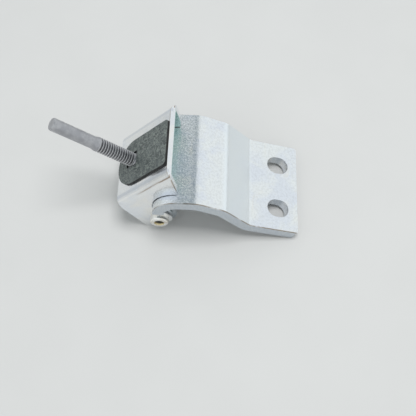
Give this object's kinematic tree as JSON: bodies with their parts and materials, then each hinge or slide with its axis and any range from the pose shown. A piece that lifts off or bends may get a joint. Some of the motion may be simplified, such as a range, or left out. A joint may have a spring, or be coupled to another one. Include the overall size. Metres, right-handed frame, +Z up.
{
  "type": "spare tire carrier",
  "caption": "Hinged clamp bracket: an arched slotted mounting plate and a swinging channel bracket that carries a clamp pad and a threaded stud.",
  "frame": {"origin": "middle of the bounding box, on the surface the part stands on at rest", "axes": "+Z up from the surface it stands on, +X from the stud's tip to the slotted foot, +Y along the hinge pin away from its dished head"},
  "size_m": [0.1656, 0.07, 0.0877],
  "materials": {
    "zinc_plate": "bright zinc plate with a bluish, slightly mottled sheen",
    "zinc_channel": "bright zinc plate",
    "pad_coat": "dark grey speckled coating, matt",
    "stud_steel": "satin plated, rolled thread",
    "pin_steel": "bright plated, peened ends"
  },
  "bodies": {
    "mounting": {"mounting_bracket": "zinc_plate"},
    "swing": {"swing_bracket": "zinc_channel", "clamp_pad": "pad_coat", "stud_bolt": "stud_steel", "hinge_pin": "pin_steel"}
  },
  "joints": [
    {"name": "swing", "type": "hinge", "parent": "mounting", "child": "swing", "pos_m": [-0.01506, 0, 0.01269], "axis": [0, -1, 0], "range_deg": [0, 110]}
  ]
}
